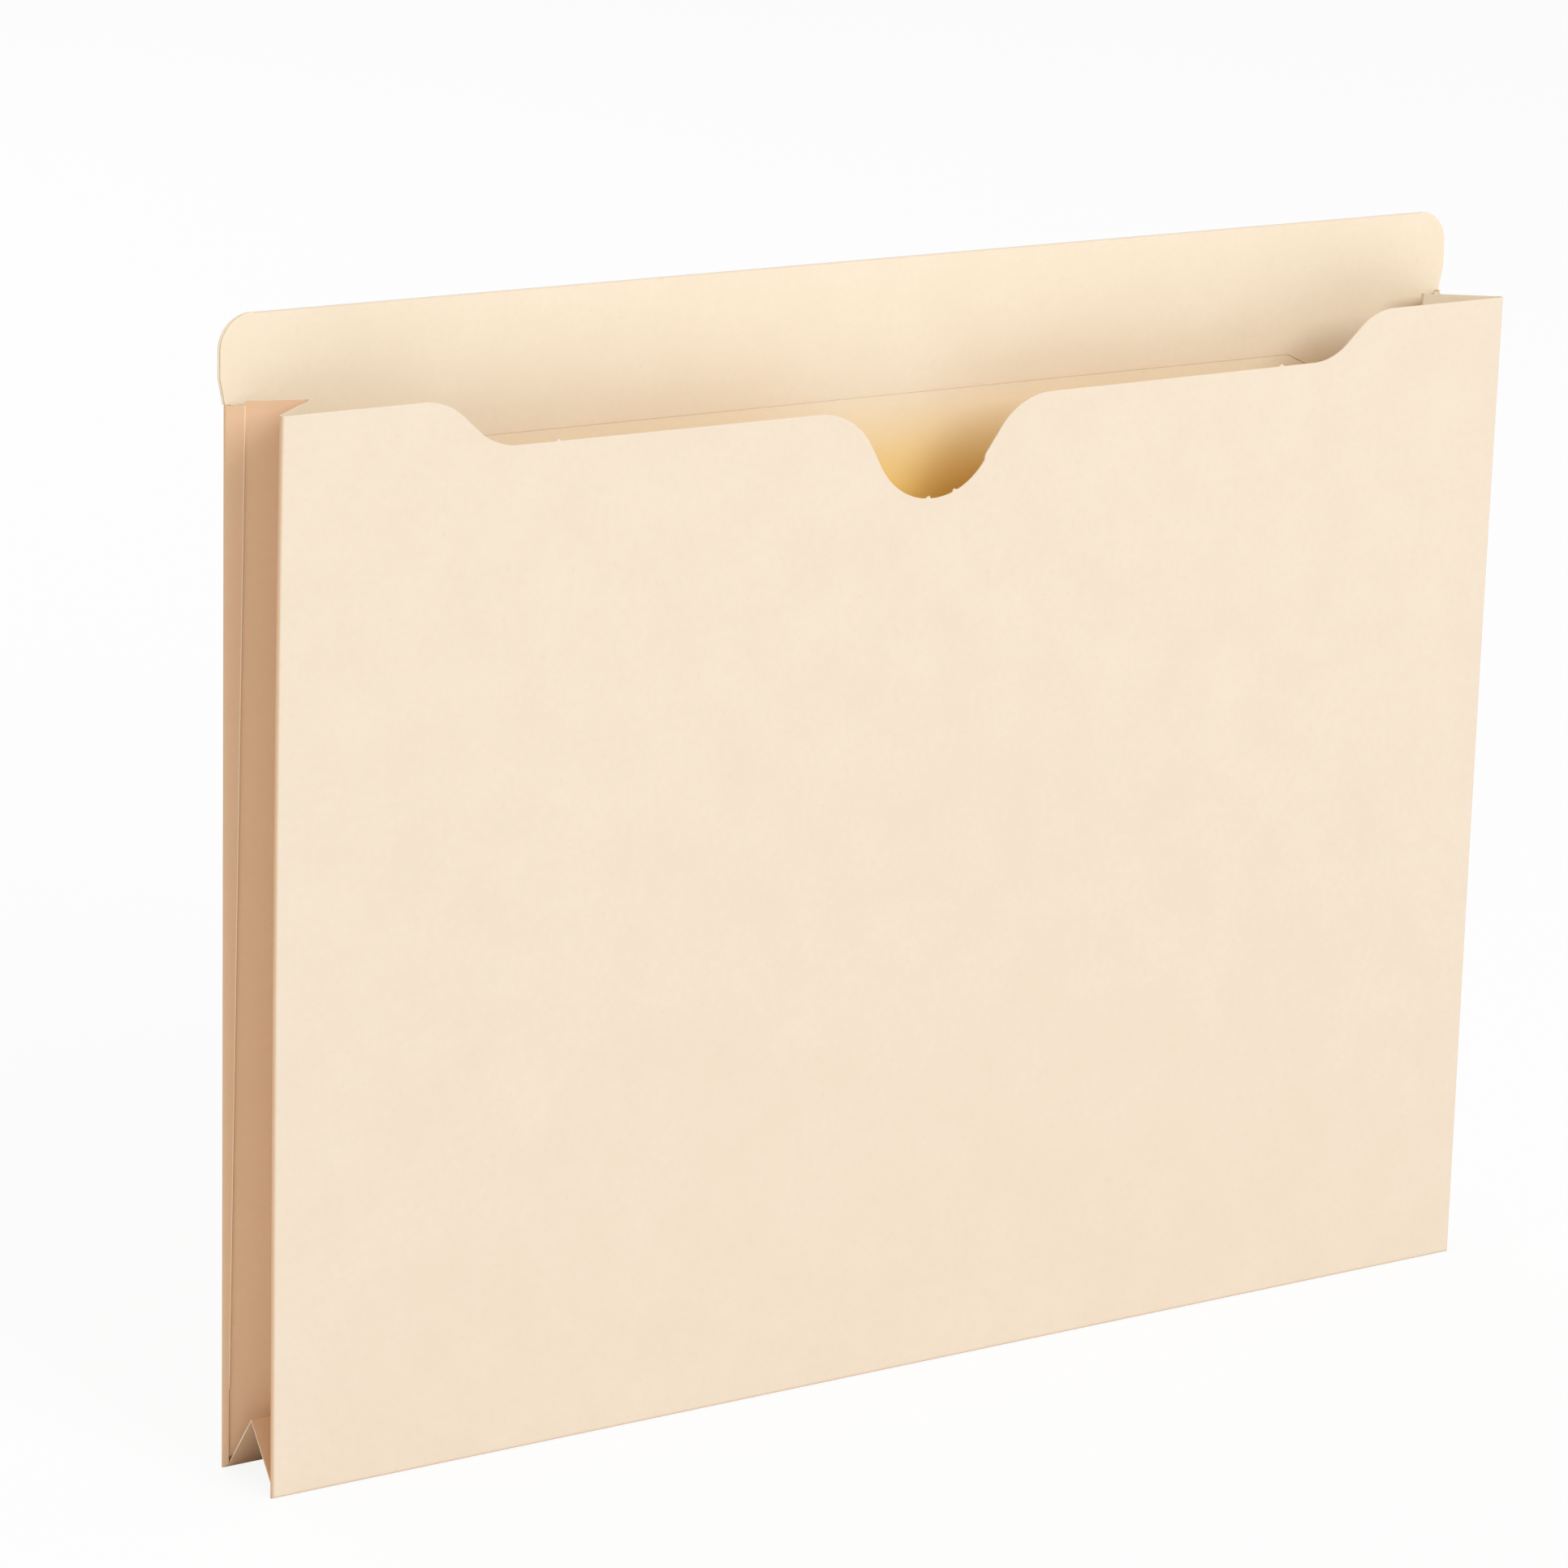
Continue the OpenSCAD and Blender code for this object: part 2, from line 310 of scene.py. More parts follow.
# Ramps in which a pattern goes from none to full, each stop with a level of noise and a grey
SOFT = (0.3, 0), (0.7, 1)
PATCHY = (0.58, 0), (0.66, 1)
POOLED = (0.35, 0), (0.65, 1)
# A fibre runs along the middle level of its noise, this much to either side
MIDDLE, FIBRE_HALF = 0.5, 0.008
# Tones of the patterns, each a factor of the stock's or the glue's colour and a warmth
THIN, THICK = (0.985, 0.02), (1.01, 0.0)
MOTTLED, FIBROUS, POOL = (0.965, 0.05), (0.8, 0.15), (0.9, 0.1)
# How strongly the patterns tint the stock, and how far they stand out beside its tooth
MOTTLE_TINT, FIBRE_TINT = 0.5, 0.25
MOTTLE_RELIEF, FIBRE_RELIEF = 0.6, 0.4
TOOTH_HEIGHT, TOOTH_STRENGTH = 0.06 * MM, 0.18
# Roughness, and what a pattern adds to it
MATT, MOTTLE_MATT = 0.78, 0.12
FILM, POOL_FILM = 0.45, 0.15


class Wire:
    """A socket in a material's nodes. Sums and products with other values add Math nodes."""

    def __init__(self, nodes, socket):
        self.nodes, self.socket = nodes, socket

    def math(self, operation, first, second):
        return self.nodes.add("ShaderNodeMath", {"operation": operation}, {0: first, 1: second})

    def __add__(self, other):
        return self.math("ADD", self, other)

    __radd__ = __add__

    def __rsub__(self, other):
        return self.math("SUBTRACT", other, self)

    def __mul__(self, other):
        return self.math("MULTIPLY", self, other)


class Nodes:
    """A node tree under construction."""

    def __init__(self, owner):
        owner.use_nodes = True
        self.tree = owner.node_tree
        self.tree.nodes.clear()

    def add(self, kind, settings=None, sockets=None, out=0):
        """Adds a node with its settings and its sockets' values or links, and gives one output."""
        node = self.tree.nodes.new(kind)
        for name, value in (settings or {}).items():
            if name == "stops":
                self.set_stops(node.color_ramp, value)
            else:
                setattr(node, name, value)
        for name, value in (sockets or {}).items():
            if isinstance(value, Wire):
                self.tree.links.new(value.socket, node.inputs[name])
            else:
                node.inputs[name].default_value = value
        return Wire(self, node.outputs[out]) if node.outputs else node

    @staticmethod
    def set_stops(ramp, stops):
        for element, (position, grey) in zip(ramp.elements, stops):
            element.position = position
            element.color = (grey, grey, grey, 1)

    def noise(self, place, size, detail=2.0, roughness=0.5):
        """Soft noise whose patches are about this size across."""
        sockets = {"Vector": place, "Scale": 1 / size, "Detail": detail, "Roughness": roughness}
        return self.add("ShaderNodeTexNoise", {"noise_dimensions": "3D"}, sockets)

    def ramp(self, factor, *stops):
        return self.add("ShaderNodeValToRGB", {"stops": stops}, {"Fac": factor})

    def tint(self, factor, colour, other):
        """Colour, going over to the other colour with the factor."""
        settings = {"data_type": "RGBA", "blend_type": "MIX"}
        return self.add("ShaderNodeMix", settings, {"Factor": factor, 6: colour, 7: other}, out=2)


def shade(colour, value=1.0, warmth=0.0):
    """The colour made lighter or darker by a factor, and its blue drawn down by its warmth."""
    red, green, blue = (channel * value for channel in colour)
    return red, green * (1 - warmth / 3), blue * (1 - warmth), 1


def manila(name, colour, deep=None, deep_from=0.0, deep_to=0.0):
    """Manila stock: cloudy formation, a fine mottle, short fibres and a toothed, matt surface.

    Where a deep colour is given, the stock goes over to it between two heights, as painted shade for light
    bounced between the pocket's walls.
    """
    material = bpy.data.materials.new(name)
    nodes = Nodes(material)
    place = nodes.add("ShaderNodeTexCoord", out="Object")
    cloud = nodes.noise(place, CLOUD_SIZE, detail=3.0)
    mottle = nodes.noise(place, MOTTLE_SIZE, detail=3.0, roughness=0.6)
    strand = nodes.noise(place, STRAND_SIZE, detail=1.0)
    patch = nodes.noise(place, PATCH_SIZE, detail=0.0)
    tooth = nodes.noise(place, TOOTH_SIZE)

    # A fibre follows a level line of one noise, for as long as another noise stays high
    rise = nodes.ramp(strand, (MIDDLE - FIBRE_HALF, 0), (MIDDLE, 1))
    fall = nodes.ramp(strand, (MIDDLE, 1), (MIDDLE + FIBRE_HALF, 0))
    fibre = rise * fall * nodes.ramp(patch, *PATCHY)

    body = nodes.tint(nodes.ramp(cloud, *SOFT), shade(colour, *THIN), shade(colour, *THICK))
    body = nodes.tint(nodes.ramp(mottle, *SOFT) * MOTTLE_TINT, body, shade(colour, *MOTTLED))
    body = nodes.tint(fibre * FIBRE_TINT, body, shade(colour, *FIBROUS))
    # Painted shade: below a height the stock goes over to a deeper, warmer tone, standing in for light
    # bounced between the pocket's walls.
    if deep:
        height = nodes.add("ShaderNodeSeparateXYZ", sockets={"Vector": place}, out="Z")
        depth = nodes.add("ShaderNodeMapRange", {"interpolation_type": "SMOOTHSTEP"}, {
            "Value": height, "From Min": deep_from, "From Max": deep_to})
        body = nodes.tint(depth, body, shade(deep))

    bump = nodes.add("ShaderNodeBump", sockets={
        "Strength": TOOTH_STRENGTH, "Distance": TOOTH_HEIGHT,
        "Height": tooth + mottle * MOTTLE_RELIEF + fibre * FIBRE_RELIEF})
    paper = nodes.add("ShaderNodeBsdfPrincipled", sockets={
        "Base Color": body, "Roughness": MATT + mottle * MOTTLE_MATT,
        "Specular IOR Level": 0.0, "Normal": bump})
    nodes.add("ShaderNodeOutputMaterial", sockets={"Surface": paper})
    return material


def dried_glue(name, colour):
    """Thin dried glue, clouded where it lies thicker."""
    material = bpy.data.materials.new(name)
    nodes = Nodes(material)
    place = nodes.add("ShaderNodeTexCoord", out="Object")
    pool = nodes.ramp(nodes.noise(place, POOL_SIZE), *POOLED)
    film = nodes.add("ShaderNodeBsdfPrincipled", sockets={
        "Base Color": nodes.tint(pool, shade(colour), shade(colour, *POOL)),
        "Roughness": FILM + pool * POOL_FILM})
    nodes.add("ShaderNodeOutputMaterial", sockets={"Surface": film})
    return material


def finish_of(name):
    """A material of the jacket, made when it is first asked for."""
    made = bpy.data.materials.get(name)
    if made is None:
        finish = bpy.context.scene.jacket_finish
        if name == "dried_glue":
            made = dried_glue(name, finish.glue)
        # The inside and the lining carry painted shade that deepens down the pocket.
        elif name == "manila_inside":
            made = manila(name, finish.inside, finish.deep, finish.deep_from, finish.deep_to)
        elif name == "manila_lining":
            made = manila(name, finish.inside, finish.lining, finish.lining_from, finish.lining_to)
        else:
            made = manila(name, getattr(finish, name.removeprefix("manila_")))
    return made


# Sheets

# Places of a piece's finishes in its list of materials
OUTER, INNER, CUT, TURNED = range(4)
# How far beyond a bend's radius a flat sheet begins
BEND_MARGIN = 0.06 * MM
# Points that lie closer than this are one point
MERGE_DISTANCE = 0.001 * MM
# Points within this height of an edge lie on it
EDGE_TOLERANCE = 0.01 * MM
# Cosine of the turn from the panel beyond which a rolled fold takes the gusset's finish, with its painted
# shade
TURN_COSINE = 0.8
# Reach of a band round a bend's axis, to either side, as a share of its radius
BAND_SHARE = 0.6
# Points of a holding nick's stub on a level edge: steps along the edge and up, in nick heights
NICK_STUB = ((1.2, 0), (0.5, 0.8), (-0.3, 0.5), (-1, 0))
# How far the two points of a stub in the thumb notch stand out, in nick heights
NOTCH_STUB = (1, 0.6)
# Fewest straight steps in a die-cut curve
FEWEST_STEPS = 4


def of_kind(geometry, kind):
    return [item for item in geometry if isinstance(item, kind)]


def everything(mesh):
    return mesh.verts[:] + mesh.edges[:] + mesh.faces[:]


def divide(mesh, point, normal):
    """Cuts a mesh's faces along a plane and keeps both sides."""
    bmesh.ops.bisect_plane(mesh, geom=everything(mesh), plane_co=point, plane_no=normal)


def trim(mesh, point, away):
    """Cuts off what lies beyond a plane, on the side that it looks to."""
    bmesh.ops.bisect_plane(
        mesh, geom=everything(mesh), plane_co=point, plane_no=away, clear_outer=True)


def thicken(mesh, outward, stock=STOCK):
    """Gives a sheet its stock behind the drawn faces, which look outward, and marks its cut edges."""
    bmesh.ops.recalc_face_normals(mesh, faces=mesh.faces[:])
    facing = [face.normal.dot(outward) for face in mesh.faces]
    if max(facing, key=abs) < 0:
        bmesh.ops.reverse_faces(mesh, faces=mesh.faces[:])
    outer = set(mesh.faces)
    made = bmesh.ops.solidify(mesh, geom=mesh.faces[:], thickness=stock)["geom"]
    inner = set(of_kind(made, bmesh.types.BMFace))
    for face in mesh.faces:
        face.smooth = True
        face.material_index = OUTER if face in outer else INNER if face in inner else CUT
    for edge in mesh.edges:
        edge.smooth = len({face.material_index for face in edge.link_faces}) == 1


class Strip:
    """A sheet drawn as a ruled strip: an edge that runs straight or bends round an axis along Z."""

    def __init__(self, x, y, low, high):
        self.mesh = bmesh.new()
        self.edge = self.mesh.edges.new([self.mesh.verts.new((x, y, z)) for z in (low, high)])

    def run(self, way, length):
        made = bmesh.ops.extrude_edge_only(self.mesh, edges=[self.edge])["geom"]
        bmesh.ops.translate(self.mesh, vec=way * length, verts=of_kind(made, bmesh.types.BMVert))
        self.edge = of_kind(made, bmesh.types.BMEdge)[0]

    def bend(self, centre, angle):
        steps = bpy.context.scene.jacket_stock.bend_steps
        made = bmesh.ops.spin(
            self.mesh, geom=[self.edge, *self.edge.verts], cent=centre, axis=UP, angle=angle, steps=steps)
        self.edge = of_kind(made["geom_last"], bmesh.types.BMEdge)[0]

    def slice_across(self, low, high):
        """Cuts the strip across into cells of twice a panel's, so that it can follow the splay."""
        steps = math.ceil((high - low) / (2 * bpy.context.scene.jacket_stock.cell))
        for step in range(1, steps):
            divide(self.mesh, UP * (low + (high - low) * step / steps), UP)


class Outline:
    """The right half of a panel's outline in X and Z, drawn from the centre line round to it again."""

    def __init__(self, z):
        self.mesh = bmesh.new()
        self.end = self.mesh.verts.new((0, 0, z))

    def to(self, x, z):
        self.end = bmesh.ops.extrude_vert_indiv(self.mesh, verts=[self.end])["verts"][0]
        self.end.co = (x, 0, z)

    def arc(self, x, z, angle):
        """Turns the line about a centre, anticlockwise as seen from the front for a positive angle."""
        centre = Vector((x, 0, z))
        length = (self.end.co - centre).length * abs(angle)
        steps = max(FEWEST_STEPS, round(length / bpy.context.scene.jacket_stock.curve_step))
        made = bmesh.ops.spin(
            self.mesh, geom=[self.end], cent=centre, axis=FRONT, angle=angle, steps=steps)
        self.end = of_kind(made["geom_last"], bmesh.types.BMVert)[0]

    def sweep(self, x, z, slope):
        """Goes down to a lower point in an S that starts and ends level, with a straight flank."""
        run, drop = self.end.co.x - x, self.end.co.z - z
        rise, level = math.sin(slope), math.cos(slope)
        radius = (run * rise - drop * level) / (2 - 2 * level)
        flank = drop * rise / (1 - level) - run
        self.arc(self.end.co.x, self.end.co.z - radius, slope)
        self.to(self.end.co.x - flank * level, self.end.co.z - flank * rise)
        self.arc(x, z + radius, -slope)

    def nick(self, x, z):
        """Leaves the stub of a holding nick on a level edge that runs towards the centre line."""
        high = bpy.context.scene.jacket_stock.nick
        for step, rise in NICK_STUB:
            self.to(x + step * high, z + rise * high)

    def round_tab(self, inset):
        """Runs from the tab's foot out to its side, round its corner and along the fold on its top."""
        corner = TAB_HALF - TAB_FOLD_HALF
        half = TAB_HALF - inset
        self.to(BODY_HALF - inset, TAB_FOOT)
        self.to(half, TAB_FOOT + bpy.context.scene.jacket_cuts.flare_h)
        self.to(half, TAB_TOP - corner)
        self.arc(half - corner, TAB_TOP - corner, math.pi / 2)
        self.to(half - corner, TAB_FOLD_FOOT)
        self.to(0, TAB_FOLD_FOOT)

    def mirrored(self):
        bmesh.ops.mirror(self.mesh, geom=everything(self.mesh), axis="X", merge_dist=MERGE_DISTANCE)
        return self.mesh


def fill(mesh, y):
    """Fills a closed outline and moves it back to its depth."""
    bmesh.ops.contextual_create(mesh, geom=mesh.edges[:])
    bmesh.ops.translate(mesh, vec=BACK * y, verts=mesh.verts[:])


def grid(mesh, half_width, height, cell):
    """Cuts a filled outline into cells, so that it can bow."""
    columns = math.ceil(half_width / cell)
    for column in range(1 - columns, columns):
        divide(mesh, RIGHT * (half_width * column / columns), RIGHT)
    rows = math.ceil(height / cell)
    for row in range(1, rows):
        divide(mesh, UP * (height * row / rows), UP)


def splay(mesh):
    """Leans what lies before the creases forward towards its top, as the pocket's mouth stands open."""
    stock = bpy.context.scene.jacket_stock
    reach = HINGES["left_rear_hinge"].y
    for vert in mesh.verts:
        x, y, z = vert.co
        side = (x / PANEL_HALF + 1) / 2
        lean = stock.splay_left + (stock.splay_right - stock.splay_left) * side
        vert.co += FRONT * lean * (z / FRONT_TOP) ** 3 * min(max(-y / reach, 0), 1)


def make_piece(name, mesh, *nodes, outer="manila_outside", inner="manila_inside", turned=None):
    """Turns a finished bmesh into a piece of manila that stands for nodes of the frame."""
    splay(mesh)
    bmesh.ops.recalc_face_normals(mesh, faces=mesh.faces[:])
    data = bpy.data.meshes.new(name)
    mesh.to_mesh(data)
    mesh.free()
    for finish in (outer, inner, "manila_cut", turned):
        if finish:
            data.materials.append(finish_of(finish))
    piece = bpy.data.objects.new(name, data)
    bpy.context.scene.collection.objects.link(piece)
    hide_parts(*nodes)
    return piece


# Gussets


class Gusset:
    """A pleat between the panels. In its section, X runs inwards, Y back and Z along the folds.

    Its pieces are drawn for the rear half, from the fold to the crease, and mirrored in Y for the
    front half.
    """

    def __init__(self, name, inward, along, low, high):
        self.name, self.low, self.high = name, low, high
        self.to_frame = Matrix((inward, BACK, along)).transposed().to_4x4()
        self.is_side = along == UP
        self.fold = self.section(HINGES[f"{name}_rear_hinge"])
        self.crease = self.section(HINGES[f"{name}_crease_hinge"])
        self.fold_r = abs(span(f"{name}_rear_fold").dot(inward)) / 2
        self.crease_r = abs(span(f"{name}_crease").dot(inward)) / 2
        # Straight stretches of a fold's and a crease's strip before their bends
        self.seat = min(corner.dot(inward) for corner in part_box("front_panel")) - self.fold.x
        self.crease_seat = self.crease_r / 2

    def section(self, point):
        """A point of the frame in this gusset's section, at the middle of its length."""
        x, y, _ = self.to_frame.inverted() @ point
        return Vector((x, y, 0))

    def lean(self, at_fold):
        """Angle from the panel to a sheet whose outer face passes the fold's axis at this distance."""
        reach = self.crease - self.fold
        offset = (at_fold + self.crease_r - STOCK) / reach.length
        return math.atan2(-reach.y, reach.x) - math.asin(offset)

    def along_leaf(self, at_fold):
        """Where a leaf's outer face passes the fold, its way inwards, its outward side and its length."""
        lean = self.lean(at_fold)
        way = Vector((math.cos(lean), -math.sin(lean), 0))
        outward = Vector((-math.sin(lean), -math.cos(lean), 0))
        foot = self.fold + outward * at_fold
        return foot, way, outward, (self.crease - foot).dot(way)

    def corners(self):
        """Mitre planes where side folds meet bottom folds: a point and the side to cut off."""
        side, bottom = HINGES["right_rear_hinge"].x, HINGES["bottom_rear_hinge"].z
        if self.is_side:
            return [(self.fold + UP * bottom, Vector((1, 0, -1)))]
        return [(self.fold + UP * side * end, Vector((1, 0, end))) for end in (-1, 1)]

    def put(self, mesh, front):
        """Moves a mesh from the section into the frame."""
        side = Matrix.Diagonal((1, -1 if front else 1, 1, 1))
        bmesh.ops.transform(mesh, matrix=self.to_frame @ side, verts=mesh.verts[:])
        return mesh

    def blend(self, piece, centre, radius, front, first, second):
        """Works out a band round a fold's or crease's axis and bakes the piece's placement into its mesh.
        """
        side = -1 if front else 1
        band = BAND_SHARE * radius
        start, end = (
            self.to_frame @ Vector((centre.x, side * (centre.y + shift), 0)) for shift in (band, -band))
        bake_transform(piece)


def gussets():
    """The left, right and bottom gussets, with the stretch of their length that their leaves take up."""
    return (
        Gusset("left", RIGHT, UP, PANEL_FOOT, FRONT_TOP),
        Gusset("right", LEFT, UP, PANEL_FOOT, FRONT_TOP),
        Gusset("bottom", UP, RIGHT, -PANEL_HALF, PANEL_HALF),
    )


def leaf_depth(gusset):
    """How far a rear leaf's outer face lies from its fold's axis.

    A side leaf lies under its seam flap and, pressed flat, clears the tab's ply by the play.
    """
    play = bpy.context.scene.jacket_stock.play
    over_ply = GLUE + STOCK + play - (gusset.fold_r - STOCK) + STOCK
    return over_ply if gusset.is_side else gusset.fold_r


def is_open_pivot(gusset, front):
    """The joints form a tree, so the right and bottom front leaves meet their folds without a joint."""
    return front and gusset.name != "left"


def fold_lead(gusset, front):
    """How far a fold's strip runs on along its leaf."""
    return 0.0 if is_open_pivot(gusset, front) else gusset.fold_r + BEND_MARGIN


def leaf_body(gusset, front):
    """Name of the body that a leaf is."""
    return f"{gusset.name}_{'front' if front else 'rear'}"


# Operators


class JACKET_OT_back_panel(bpy.types.Operator):
    """Models the back panel, whose top is the outer ply of the tab"""

    bl_idname = "jacket.back_panel"
    bl_label = "Back Panel"

    def execute(self, context):
        outline = Outline(PANEL_FOOT)
        outline.to(PANEL_HALF, PANEL_FOOT)
        outline.to(PANEL_HALF, TAB_FOOT)
        outline.round_tab(0)
        mesh = outline.mirrored()
        fill(mesh, BACK_FACE)
        thicken(mesh, BACK)
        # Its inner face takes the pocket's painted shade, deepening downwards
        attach(make_piece("back_panel_sheet", mesh, "back_panel"), "back")
        return {"FINISHED"}


class JACKET_OT_tab_ply(bpy.types.Operator):
    """Models the ply inside the tab and the fold along the top of the tab"""

    bl_idname = "jacket.tab_ply"
    bl_label = "Tab Ply"

    def execute(self, context):
        self.ply(context.scene.jacket_stock, context.scene.jacket_cuts)
        self.fold()
        return {"FINISHED"}

    def ply(self, stock, cuts):
        low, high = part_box("tab_ply")
        foot = TAB_TOP - cuts.ply_h
        half = -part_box("left_rear_fold")[1].x - BEND_MARGIN
        outline = Outline(foot)
        outline.to(cuts.ply_turn_x, foot)
        outline.to(cuts.ply_turn_x + (foot - low.z) / math.tan(cuts.ply_slope), low.z)
        outline.to(half, low.z)
        outline.to(half, TAB_FOOT)
        outline.round_tab(TAB_HALF - high.x)
        mesh = outline.mirrored()
        fill(mesh, low.y)
        divide(mesh, UP * (foot + stock.pressed_h), UP)
        thicken(mesh, FRONT)
        for vert in mesh.verts:
            if abs(vert.co.z - foot) < EDGE_TOLERANCE and vert.co.y < low.y + STOCK / 2:
                vert.co += BACK * stock.pressed
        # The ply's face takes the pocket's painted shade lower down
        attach(make_piece("tab_ply_sheet", mesh, "tab_ply", outer="manila_inside"), "back")

    def fold(self):
        radius = TAB_TOP - TAB_FOLD_FOOT
        strip = Strip(0, BACK_FACE, -TAB_FOLD_HALF, TAB_FOLD_HALF)
        strip.bend(Vector((0, BACK_FACE - radius, 0)), -math.pi)
        thicken(strip.mesh, RIGHT)
        # The strip is drawn along Z and bulges towards X. It is laid along X to bulge upwards
        along_x = Matrix(((0, 0, 1, 0), (0, 1, 0, 0), (1, 0, 0, TAB_FOLD_FOOT), (0, 0, 0, 1)))
        bmesh.ops.transform(strip.mesh, matrix=along_x, verts=strip.mesh.verts[:])
        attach(make_piece("tab_fold_sheet", strip.mesh, "tab_fold"), "back")


class JACKET_OT_front_panel(bpy.types.Operator):
    """Models the front panel with its ears, its thumb notch and a slight bow"""

    bl_idname = "jacket.front_panel"
    bl_label = "Front Panel"

    def execute(self, context):
        stock, cuts = context.scene.jacket_stock, context.scene.jacket_cuts
        middle = FRONT_TOP - cuts.ear_drop
        outline = Outline(PANEL_FOOT)
        outline.to(PANEL_HALF, PANEL_FOOT)
        outline.to(PANEL_HALF, FRONT_TOP)
        outline.to(cuts.ear_x + cuts.ear_run / 2, FRONT_TOP)
        outline.sweep(cuts.ear_x - cuts.ear_run / 2, middle, cuts.ear_slope)
        outline.nick(cuts.nick_x, middle)
        outline.to(cuts.notch_half, middle)
        outline.sweep(0, middle - cuts.notch_depth, cuts.notch_slope)
        mesh = outline.mirrored()
        self.nick_notch(mesh, stock, cuts)
        fill(mesh, FRONT_FACE)
        grid(mesh, PANEL_HALF, FRONT_TOP, stock.cell)
        for vert in mesh.verts:
            across = (1 - (vert.co.x / PANEL_HALF) ** 2) ** 2
            vert.co += FRONT * stock.bow * across * (vert.co.z / FRONT_TOP) ** 2
        thicken(mesh, FRONT)
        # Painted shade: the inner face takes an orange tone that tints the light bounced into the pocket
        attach(make_piece("front_panel_sheet", mesh, "front_panel", inner="manila_lining"), "front")
        return {"FINISHED"}

    def nick_notch(self, mesh, stock, cuts):
        """Draws points of the thumb notch out into the stubs of holding nicks."""
        notch = [
            vert for vert in mesh.verts
            if vert.co.z > PANEL_FOOT and abs(vert.co.x) < cuts.notch_half / 2]
        for x in cuts.notch_nicks:
            out = Vector((-x, 0, cuts.notch_depth)).normalized()
            nearest = sorted(notch, key=lambda vert: abs(vert.co.x - x))
            for vert, share in zip(nearest, NOTCH_STUB):
                vert.co += out * stock.nick * share


class JACKET_OT_panel_folds(bpy.types.Operator):
    """Models the rolled folds along the sides and the bottom of both panels"""

    bl_idname = "jacket.panel_folds"
    bl_label = "Panel Folds"

    def execute(self, context):
        for gusset in gussets():
            for front in (False, True):
                self.fold(gusset, front)
        return {"FINISHED"}

    def fold(self, gusset, front):
        low, top = -BODY_HALF, BODY_HALF
        if gusset.is_side:
            low, top = 0, gusset.high if front else TAB_FOOT
        _, way, _, _ = gusset.along_leaf(gusset.fold_r)
        turn = math.pi - gusset.lean(gusset.fold_r)
        strip = Strip(gusset.fold.x + gusset.seat, gusset.fold.y + gusset.fold_r, low, top)
        strip.run(LEFT, gusset.seat)
        if is_open_pivot(gusset, front):
            # Without a joint, the fold is rolled on to where its leaf lies when pressed flat
            strip.bend(gusset.fold, turn + CLOSING)
        else:
            strip.bend(gusset.fold, turn)
            strip.run(way, fold_lead(gusset, front))
        for corner, away in gusset.corners():
            trim(strip.mesh, corner, away)
        if gusset.is_side:
            strip.slice_across(low, top)
        thicken(strip.mesh, BACK)
        # Painted shade: faces that turn away from the panel take the gusset's deeper, warmer tone
        for face in strip.mesh.faces:
            if face.material_index == OUTER and face.normal.y < TURN_COSINE:
                face.material_index = TURNED
        leaf = leaf_body(gusset, front)
        panel = "front" if front else "back"
        mesh = gusset.put(strip.mesh, front)
        piece = make_piece(f"{leaf}_fold_sheet", mesh, f"{leaf}_fold", turned="manila_gusset")
        if is_open_pivot(gusset, front):
            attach(piece, panel)
        else:
            gusset.blend(piece, gusset.fold, gusset.fold_r, front, panel, leaf)


class JACKET_OT_gusset_leaves(bpy.types.Operator):
    """Models the leaves of the gussets, with the side leaves mitred over the bottom gusset"""

    bl_idname = "jacket.gusset_leaves"
    bl_label = "Gusset Leaves"

    def execute(self, context):
        for gusset in gussets():
            for front in (False, True):
                self.leaf(gusset, front, context.scene.jacket_cuts)
        return {"FINISHED"}

    def leaf(self, gusset, front, cuts):
        foot, way, outward, length = gusset.along_leaf(gusset.fold_r if front else leaf_depth(gusset))
        lead = fold_lead(gusset, front)
        seat = gusset.crease_r + BEND_MARGIN if front else gusset.crease_seat
        start = foot + way * lead
        strip = Strip(start.x, start.y, gusset.low, gusset.high)
        strip.run(way, length - lead - seat)
        if gusset.is_side:
            mitre = HINGES["bottom_rear_hinge"].z + cuts.mitre_gap
            trim(strip.mesh, foot + UP * mitre, way - UP)
            strip.slice_across(gusset.low, gusset.high)
            if not front:
                self.slant_top(strip.mesh, gusset, foot, way, length, cuts)
        thicken(strip.mesh, outward)
        body = leaf_body(gusset, front)
        # Painted shade: a leaf's outer face takes the gusset's deeper, warmer tone, and a side leaf's
        # inner face the pocket's tone, which deepens downwards
        inner = "manila_inside" if gusset.is_side else "manila_gusset"
        mesh = gusset.put(strip.mesh, front)
        piece = make_piece(
            f"{body}_leaf_sheet", mesh, f"{body}_leaf", outer="manila_gusset", inner=inner)
        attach(piece, body)

    def slant_top(self, mesh, gusset, foot, way, length, cuts):
        """Slants a rear leaf's top down to its fold and cuts the corner off there."""
        rise = cuts.leaf_rise_left if gusset.name == "left" else cuts.leaf_rise_right
        top = foot + UP * (gusset.high - rise)
        trim(mesh, top, UP * length - way * rise)
        corner = UP * math.cos(cuts.corner_slope) - way * math.sin(cuts.corner_slope)
        trim(mesh, top + way * cuts.corner_w, corner)


